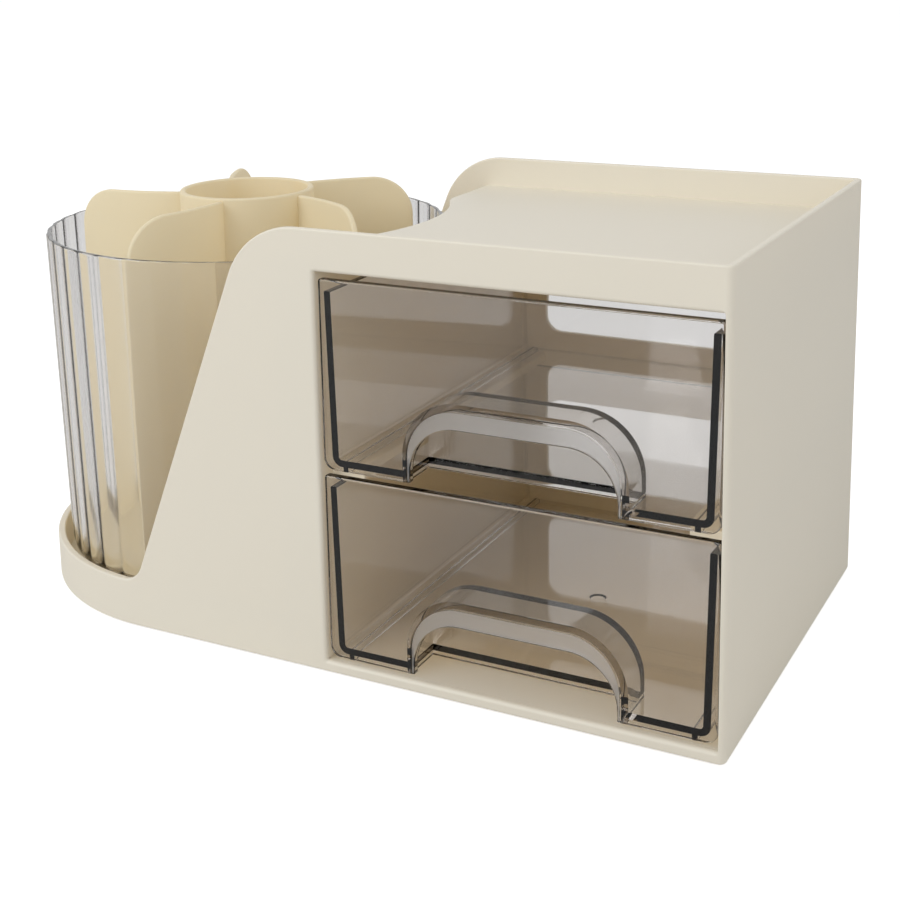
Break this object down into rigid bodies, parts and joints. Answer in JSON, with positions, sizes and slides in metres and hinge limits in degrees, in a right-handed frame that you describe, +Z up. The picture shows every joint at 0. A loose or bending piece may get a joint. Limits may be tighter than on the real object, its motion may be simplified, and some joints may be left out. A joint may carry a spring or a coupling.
{
  "type": "rotating desk organizer",
  "caption": "Desk organizer with a shallow tray over smoked drawers, and a clear fluted pen cup with a swept divider that turns on a ball bearing.",
  "frame": {"origin": "middle of the footprint, on the surface that the feet stand on", "axes": "+X along the length towards the drawers, -Y towards the open front, +Z up"},
  "size_m": [0.2544, 0.136, 0.1308],
  "materials": {
    "cream_shell": "fine satin",
    "cream_base": "fine satin",
    "steel_screws": "zinc plated",
    "rubber_feet": "matt",
    "white_cage": "plain moulded",
    "steel_balls": "polished",
    "cream_disc": "fine satin",
    "steel_washer": "zinc plated",
    "steel_pivot": "zinc plated",
    "clear_cup": "clear, polished",
    "cream_divider": "fine satin",
    "smoked_drawers": "smoked clear, polished"
  },
  "bodies": {
    "base": {"housing": "cream_shell", "base_plate": "cream_base", "base_screws": "steel_screws", "pivot_screw": "steel_pivot", "pivot_washer": "steel_washer", "foot_right_front": "rubber_feet", "foot_right_back": "rubber_feet", "foot_middle_front": "rubber_feet", "foot_middle_back": "rubber_feet", "foot_left_front": "rubber_feet", "foot_left_back": "rubber_feet"},
    "ball_ring": {"ball_cage": "white_cage", "bearing_balls": "steel_balls"},
    "turntable": {"turntable_disc": "cream_disc"},
    "cup": {"cup": "clear_cup"},
    "divider": {"divider": "cream_divider"},
    "lower_drawer": {"lower_drawer": "smoked_drawers"},
    "upper_drawer": {"upper_drawer": "smoked_drawers"}
  },
  "joints": [
    {"name": "turntable_spin", "type": "hinge", "parent": "base", "child": "turntable", "pos_m": [-0.0592, 0, 0], "axis": [0, 0, 1], "continuous": true},
    {"name": "ball_ring_spin", "type": "hinge", "parent": "base", "child": "ball_ring", "pos_m": [-0.0592, 0, 0], "axis": [0, 0, 1], "continuous": true},
    {"name": "cup_lift", "type": "slide", "parent": "turntable", "child": "cup", "axis": [0, 0, 1], "range_m": [0, 0.12]},
    {"name": "divider_lift", "type": "slide", "parent": "cup", "child": "divider", "axis": [0, 0, 1], "range_m": [0, 0.12]},
    {"name": "lower_drawer_slide", "type": "slide", "parent": "base", "child": "lower_drawer", "axis": [0, -1, 0], "range_m": [0, 0.11]},
    {"name": "upper_drawer_slide", "type": "slide", "parent": "base", "child": "upper_drawer", "axis": [0, -1, 0], "range_m": [0, 0.11]}
  ],
  "couplings": [
    {"joint": "ball_ring_spin", "follows": "turntable_spin", "ratio": 0.5}
  ]
}
